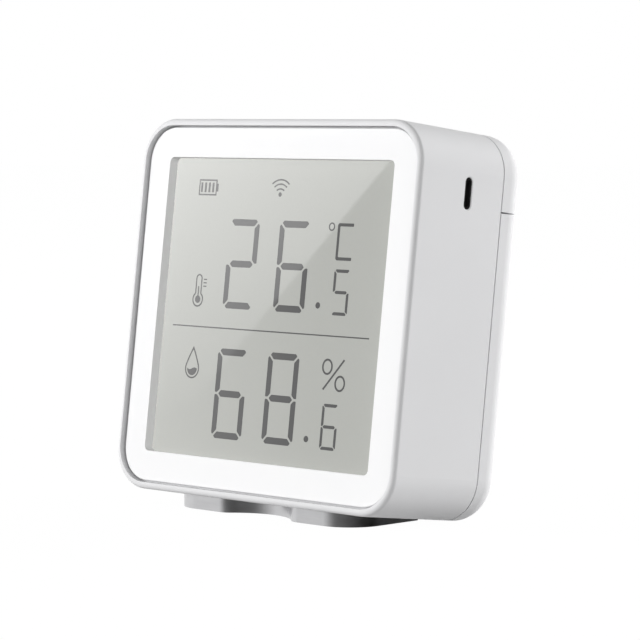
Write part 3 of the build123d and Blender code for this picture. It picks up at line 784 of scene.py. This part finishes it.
class SENSOR_OT_board(Operator):
    """Finishes the boards and what is soldered to them"""
    bl_idname = "sensor.board"
    bl_label = "Boards"

    def execute(self, context):
        for node in ("main_board", "sensor_board"):
            dress(node, "board_mask", circuit, mask=context.scene.sensor_colours.board)
        dress("radio_board", "radio_mask", circuit, mask=(0.02, 0.05, 0.16))
        dress("radio_antenna", "antenna_gold", metal, colour=(0.85, 0.62, 0.28))
        tinned = {"colour": (0.68, 0.68, 0.67), "roughness": 0.28, "stretch": (1, 0.2, 1)}
        for node in ("radio_shield", "crystal"):
            dress(node, "tinned_steel", metal, **tinned)
        for node in ("controller_chip", "sensor_chip"):
            dress(node, "chip_resin", moulded, colour=(0.022, 0.022, 0.024), roughness=0.6, tint=0.1)
        dress("capacitors", "capacitor_clay", moulded, colour=(0.36, 0.27, 0.18), tint=0.06)
        dress("sensor_header", "header_plastic", moulded, colour=(0.03, 0.03, 0.03))
        dress("switch_body", "switch_plastic", moulded, colour=(0.05, 0.05, 0.05), roughness=0.55)
        dress("switch_plunger", "plunger_plastic", moulded, colour=(0.12, 0.12, 0.12))
        black, grey = (0.003, 0.003, 0.003), (0.015, 0.015, 0.015)
        # The foam's cell hollows get a painted shade, darker than the walls
        dress("sensor_gasket", "gasket_foam", foam, hollow=black, wall=grey)
        return {"FINISHED"}


# Contact springs

# Points in a turn of the spiral, and sides of the wire
SPIRAL_STEPS = 40
WIRE_SIDES = 12


def spring_tree(material):
    """A geometry tree: a conical spiral given a round wire, with named inputs."""
    tree = bpy.data.node_groups.new("contact_spring", "GeometryNodeTree")
    tree.interface.new_socket("Geometry", in_out="OUTPUT", socket_type="NodeSocketGeometry")
    for name in ("Turns", "Base Radius", "Tip Radius", "Length", "Wire Radius"):
        tree.interface.new_socket(name, in_out="INPUT", socket_type="NodeSocketFloat")
    given = tree.nodes.new("NodeGroupInput")
    spiral_values = {
        "Resolution": SPIRAL_STEPS,
        "Rotations": given.outputs["Turns"],
        "Start Radius": given.outputs["Base Radius"],
        "End Radius": given.outputs["Tip Radius"],
        "Height": given.outputs["Length"],
    }
    spiral = add_node(tree, "GeometryNodeCurveSpiral", spiral_values)
    section_values = {"Resolution": WIRE_SIDES, "Radius": given.outputs["Wire Radius"]}
    section = add_node(tree, "GeometryNodeCurvePrimitiveCircle", section_values)
    wire_values = {
        "Curve": spiral.outputs["Curve"],
        "Profile Curve": section.outputs["Curve"],
        "Fill Caps": True,
    }
    wire = add_node(tree, "GeometryNodeCurveToMesh", wire_values)
    smooth = add_node(tree, "GeometryNodeSetShadeSmooth", {"Geometry": wire.outputs["Mesh"]})
    real = add_node(tree, "GeometryNodeRealizeInstances", {"Geometry": smooth.outputs["Geometry"]})
    paint_values = {"Geometry": real.outputs["Geometry"], "Material": material}
    paint = add_node(tree, "GeometryNodeSetMaterial", paint_values)
    add_node(tree, "NodeGroupOutput", {"Geometry": paint.outputs["Geometry"]})
    return tree


def grown(name, tree, values):
    """Runs a geometry tree and returns its result as a plain mesh."""
    seed = bpy.data.objects.new(name, bpy.data.meshes.new(name))
    bpy.context.scene.collection.objects.link(seed)
    modifier = seed.modifiers.new("rule", "NODES")
    modifier.node_group = tree
    for socket in tree.interface.items_tree:
        if socket.item_type == "SOCKET" and socket.in_out == "INPUT":
            modifier[socket.identifier] = values[socket.name]
    bpy.context.view_layer.update()
    ready = seed.evaluated_get(bpy.context.evaluated_depsgraph_get())
    mesh = bpy.data.meshes.new_from_object(ready)
    bpy.data.objects.remove(seed)
    return mesh


class SENSOR_OT_power(Operator):
    """Finishes the cells and their contacts, and winds the contact springs"""
    bl_idname = "sensor.power"
    bl_label = "Power"

    def execute(self, context):
        size = context.scene.sensor_sizes
        for node in ("upper_cell", "lower_cell"):
            dress(node, "cell_sleeve", cell_sleeve, body=(0.045, 0.05, 0.065), band=(0.62, 0.63, 0.64))
        nickel = {"colour": (0.72, 0.7, 0.66), "roughness": 0.25, "stretch": (1, 0.3, 1)}
        for node in ("link_contact", "positive_contact", "negative_contact"):
            dress(node, "contact_nickel", metal, **nickel)
        steel = finish("spring_wire", metal, colour=(0.74, 0.72, 0.69), roughness=0.22, scale=2000)
        tree = spring_tree(steel)
        radius = size.wire / 2
        for node in ("upper_cell_spring", "lower_cell_spring"):
            low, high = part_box(node)
            centre = middle(node)
            base = (high.z - low.z) / 2 - radius
            values = {
                "Turns": float(size.spring_turns),
                "Base Radius": base,
                "Tip Radius": base - size.wire,
                "Length": high.x - low.x - size.wire,
                "Wire Radius": radius,
            }
            mesh = grown(f"{node}_wire", tree, values)
            # A spring's wide end stands on its plate, on the side away from the cell
            side = 1 if centre.x > 0 else -1
            plate = high.x - radius if side > 0 else low.x + radius
            turn = Matrix.Rotation(-side * pi / 2, 4, "Y")
            mesh.transform(Matrix.Translation((plate, centre.y, centre.z)) @ turn)
            piece = new_piece(f"{node}_wire", mesh, steel, "housing")
            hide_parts(node)
        return {"FINISHED"}


# Stage. Places and sizes are in millimetres, angles in degrees

CAMERA = {"place": (397.27, -404.01, 75.45), "turn": 44.431, "tip": -3.951, "lens": 167.73, "film": 36.0}

# Cards that the display mirrors. Corners are where the display shows them, from its centre, and the glow
# changes by these rates to the right and upwards
CARDS = {
    "slanted_card": {
        "distance": 300,
        "corners": ((31.5, 33.6), (-18.0, -16.9), (-46.0, -33.0), (-46.0, 46.0), (31.5, 46.0)),
        "centre_glow": 2.65,
        "glow_per_mm": (-0.038, 0.0641),
    },
    "wide_card": {
        "distance": 320,
        "corners": ((46.0, 46.0), (46.0, -46.0), (-46.0, -46.0), (-46.0, 46.0)),
        "centre_glow": 1.4,
        "glow_per_mm": (-0.033, 0.0),
    },
}

# Strength of the white surroundings where they are seen, and where they light the object
WHITE = 1
STUDIO_LIGHT = 0.45

# The floor's grey lights the object, its glow is seen, and a share of the grey keeps the shadow in it
FLOOR = {"size": 6000, "tone": 0.42, "glow": 1.04, "shadow_share": 0.05}

# Dark wall round the front right, which the polished foot mirrors
FLAG = {
    "distance": 400,
    "reach": 260,
    "steps": 24,
    "from": -146,
    "grey_from": -86,
    "black_from": 5,
    "to": 62,
    "grey": 0.15,
}

# Dark board over the object, which keeps the studio's light off its top
BOARD = {"height": 240, "size": 320}

# Lamps, with their power in watts
LAMP_TARGET = (0, 0, 38)
KEY_PLACE = (-1200, -1300, 422)
LAMPS = {
    "key": {"place": KEY_PLACE, "size": 700, "power": 27.0},
    "display_key": {"place": KEY_PLACE, "size": 700, "power": 31.6},
    "edge": {"place": (330, 690, 120), "size": 350, "power": 6.5},
    "fill": {"place": (620, -300, 90), "size": 350, "power": 1.2},
}


def seen_ray(tree):
    """1 for camera, glossy and transmission rays, and 0 for the rays that light the object."""
    path = tree.nodes.new("ShaderNodeLightPath")
    first = calculate(tree, "MAXIMUM", path.outputs["Is Camera Ray"], path.outputs["Is Glossy Ray"])
    return calculate(tree, "MAXIMUM", first, path.outputs["Is Transmission Ray"])


def make_world():
    """White surroundings, which light the object less than they are bright."""
    world = bpy.data.worlds.new("studio")
    bpy.context.scene.world = world
    world.use_nodes = True
    tree = world.node_tree
    ground = next(node for node in tree.nodes if node.type == "BACKGROUND")
    levels = {"Value": seen_ray(tree), "To Min": STUDIO_LIGHT, "To Max": WHITE}
    strength = add_node(tree, "ShaderNodeMapRange", levels)
    feed(tree, ground, {"Color": (1, 1, 1), "Strength": strength.outputs["Result"]})


def make_floor():
    """A white floor that keeps a soft contact shadow."""
    bpy.ops.mesh.primitive_plane_add(size=FLOOR["size"] * MM)
    floor = bpy.context.object
    floor.name = "floor"
    material, tree, shader = plain_material("floor_white")
    feed(tree, shader, {"Base Color": (FLOOR["tone"],) * 3, "Roughness": 1, "Specular IOR Level": 0})
    grey = shader.outputs["BSDF"]
    glow = add_node(tree, "ShaderNodeEmission", {"Strength": FLOOR["glow"]})
    shade_values = {"Fac": FLOOR["shadow_share"], 1: glow.outputs["Emission"], 2: grey}
    shade = add_node(tree, "ShaderNodeMixShader", shade_values)
    choose_values = {"Fac": seen_ray(tree), 1: grey, 2: shade.outputs["Shader"]}
    choose = add_node(tree, "ShaderNodeMixShader", choose_values)
    out = next(node for node in tree.nodes if node.type == "OUTPUT_MATERIAL")
    feed(tree, out, {"Surface": choose.outputs["Shader"]})
    floor.data.materials.append(material)
    # Mirror images show the white background instead of the floor, and the foot then shows the dark wall
    floor.visible_glossy = False


def make_camera():
    """The camera, at the photograph's viewing angle."""
    data = bpy.data.cameras.new("camera")
    data.lens = CAMERA["lens"]
    data.sensor_width = CAMERA["film"]
    camera = bpy.data.objects.new("camera", data)
    bpy.context.scene.collection.objects.link(camera)
    camera.location = Vector(CAMERA["place"]) * MM
    camera.rotation_euler = (radians(90 + CAMERA["tip"]), 0, radians(CAMERA["turn"]))
    bpy.context.scene.camera = camera


def mirror_point(x, up, distance):
    """Where the photograph's sight line, mirrored in one point of the display, meets a card's plane."""
    point = on_display(x, up)
    sight = (point - Vector(CAMERA["place"]) * MM).normalized()
    away = sight - 2 * sight.dot(FACE) * FACE
    centre = (DISPLAY - Vector(CAMERA["place"]) * MM).normalized()
    axis = centre - 2 * centre.dot(FACE) * FACE
    return point + away * (distance * MM / away.dot(axis))


def mirrored_piece(name, points, faces):
    """A glowing piece that only mirror images show: its tree, its strength and its coordinates."""
    mesh = bpy.data.meshes.new(name)
    mesh.from_pydata(points, [], faces)
    piece = bpy.data.objects.new(name, mesh)
    bpy.context.scene.collection.objects.link(piece)
    material = bpy.data.materials.new(name)
    material.use_nodes = True
    tree = material.node_tree
    tree.nodes.clear()
    glow = tree.nodes.new("ShaderNodeEmission")
    add_node(tree, "ShaderNodeOutputMaterial", {"Surface": glow.outputs["Emission"]})
    place = tree.nodes.new("ShaderNodeTexCoord")
    piece.data.materials.append(material)
    piece.visible_camera = False
    piece.visible_diffuse = False
    piece.visible_shadow = False
    return tree, glow.inputs["Strength"], place.outputs["Object"]


def make_card(name, distance, corners, centre_glow, glow_per_mm):
    """A light card that the display mirrors, and that fades in a straight line to the white round it."""
    points = [mirror_point(x, up, distance) for x, up in corners]
    tree, strength, place = mirrored_piece(name, points, [tuple(range(len(points)))])
    # Brightness falls in a straight line over the display, so over the card too
    origin = mirror_point(0, 0, distance)
    to_right, to_top = mirror_point(1, 0, distance) - origin, mirror_point(0, 1, distance) - origin
    cross = to_right.dot(to_top)
    size = to_right.length_squared * to_top.length_squared - cross**2
    rate_x, rate_up = glow_per_mm
    share_x = (rate_x * to_top.length_squared - rate_up * cross) / size
    share_up = (rate_up * to_right.length_squared - rate_x * cross) / size
    slope = to_right * share_x + to_top * share_up
    along = add_node(tree, "ShaderNodeVectorMath", {0: place, 1: slope}, operation="DOT_PRODUCT")
    level = calculate(tree, "ADD", along.outputs["Value"], centre_glow - origin.dot(slope))
    tree.links.new(calculate(tree, "MAXIMUM", level, WHITE), strength)


def make_flag():
    """A dark curved wall that only mirror images show."""
    distance, left, right = FLAG["distance"], radians(FLAG["from"]), radians(FLAG["to"])
    edge = arc(0, 0, distance, distance, left, right, FLAG["steps"])
    points = [Vector((x, y, height)) * MM for height in (-FLAG["reach"], FLAG["reach"]) for x, y in edge]
    count = FLAG["steps"] + 1
    faces = [(low, low + 1, low + 1 + count, low + count) for low in range(FLAG["steps"])]
    tree, strength, place = mirrored_piece("dark_flag", points, faces)
    split = add_node(tree, "ShaderNodeSeparateXYZ", {"Vector": place})
    angle = calculate(tree, "ARCTAN2", split.outputs["Y"], split.outputs["X"])
    # From left to right the wall fades from the white background to grey, and then to black
    fades = []
    grey = FLAG["grey"]
    for start, end, drop in (("from", "grey_from", WHITE - grey), ("grey_from", "black_from", grey)):
        levels = {
            "Value": angle,
            "From Min": radians(FLAG[start]),
            "From Max": radians(FLAG[end]),
            "To Min": drop,
            "To Max": 0,
        }
        fade = add_node(tree, "ShaderNodeMapRange", levels, interpolation_type="SMOOTHSTEP")
        fades.append(fade.outputs["Result"])
    tree.links.new(calculate(tree, "ADD", *fades), strength)


def make_board():
    """A black board that shades the object's top, and that no mirror image shows."""
    bpy.ops.mesh.primitive_plane_add(size=BOARD["size"] * MM, location=(0, 0, BOARD["height"] * MM))
    board = bpy.context.object
    board.name = "top_board"
    material, tree, shader = plain_material("board_black")
    feed(tree, shader, {"Base Color": (0, 0, 0), "Specular IOR Level": 0})
    board.data.materials.append(material)
    board.visible_camera = False
    board.visible_glossy = False
    board.visible_transmission = False


def area_light(name, place, size, power):
    """A square white lamp that neither the camera nor a mirror image shows."""
    data = bpy.data.lights.new(name, "AREA")
    data.shape = "SQUARE"
    data.size = size * MM
    data.energy = power
    light = bpy.data.objects.new(name, data)
    bpy.context.scene.collection.objects.link(light)
    light.location = Vector(place) * MM
    aim = (Vector(LAMP_TARGET) * MM - light.location).normalized()
    light.rotation_euler = aim.to_track_quat("-Z", "Y").to_euler()
    light.visible_glossy = False
    light.visible_camera = False
    return light


def linked(name, objects, state):
    """A light-linking set that takes objects in or leaves them out."""
    group = bpy.data.collections.new(name)
    for item in objects:
        group.objects.link(item)
    for entry in group.collection_objects:
        entry.light_linking.link_state = state
    return group


def light_display(lamps):
    """Gives the display a key lamp of its own, from which the panel's window throws no shadow."""
    display = [frame["nodes"]["front_polariser"]]
    display += [bpy.data.objects[name] for name in (*READINGS, *SIGNS)]
    outside = linked("outside_display", display, "EXCLUDE")
    for name in ("key", "fill"):
        lamps[name].light_linking.receiver_collection = outside
    own = lamps["display_key"].light_linking
    own.receiver_collection = linked("on_display", display, "INCLUDE")
    own.blocker_collection = linked("no_window_shadow", [frame["nodes"]["front_panel"]], "EXCLUDE")


class SENSOR_OT_stage(Operator):
    """Sets up the surroundings, the floor, the camera, the cards, the dark wall and board, and the lamps"""
    bl_idname = "sensor.stage"
    bl_label = "Stage"

    def execute(self, context):
        context.scene.view_settings.view_transform = "Standard"
        make_world()
        make_floor()
        make_camera()
        for name, card in CARDS.items():
            make_card(name, **card)
        make_flag()
        make_board()
        light_display({name: area_light(name, **lamp) for name, lamp in LAMPS.items()})
        return {"FINISHED"}


# Operators in their order. The stage comes last, because a lamp of it lights only the display and its ink
PARTS = ("case", "display", "digits", "signs", "board", "power", "foot", "stage")


class SENSOR_PT_panel(Panel):
    """Lists the pieces of the sensor in the sidebar"""
    bl_idname = "SENSOR_PT_panel"
    bl_label = "Desk climate sensor"
    bl_space_type = "VIEW_3D"
    bl_region_type = "UI"
    bl_category = "Sensor"

    def draw(self, context):
        for part in PARTS:
            self.layout.operator(f"sensor.{part}")
        for group in (context.scene.sensor_sizes, context.scene.sensor_colours):
            for name in group.bl_rna.properties.keys():
                if name not in ("rna_type", "name"):
                    self.layout.prop(group, name)


CLASSES = (
    SensorSizes,
    SensorColours,
    SENSOR_OT_digits,
    SENSOR_OT_signs,
    SENSOR_OT_display,
    SENSOR_OT_case,
    SENSOR_OT_foot,
    SENSOR_OT_board,
    SENSOR_OT_power,
    SENSOR_OT_stage,
    SENSOR_PT_panel,
)


def register():
    """Registers the classes, and gives the scene its sizes and colours."""
    for item in CLASSES:
        bpy.utils.register_class(item)
    bpy.types.Scene.sensor_sizes = PointerProperty(type=SensorSizes)
    bpy.types.Scene.sensor_colours = PointerProperty(type=SensorColours)


def unregister():
    """Takes the sizes, the colours and the classes away again."""
    del bpy.types.Scene.sensor_colours
    del bpy.types.Scene.sensor_sizes
    for item in reversed(CLASSES):
        bpy.utils.unregister_class(item)


def main():
    """Makes everything."""
    register()
    for part in PARTS:
        getattr(bpy.ops.sensor, part)()


if __name__ == "__main__":
    main()
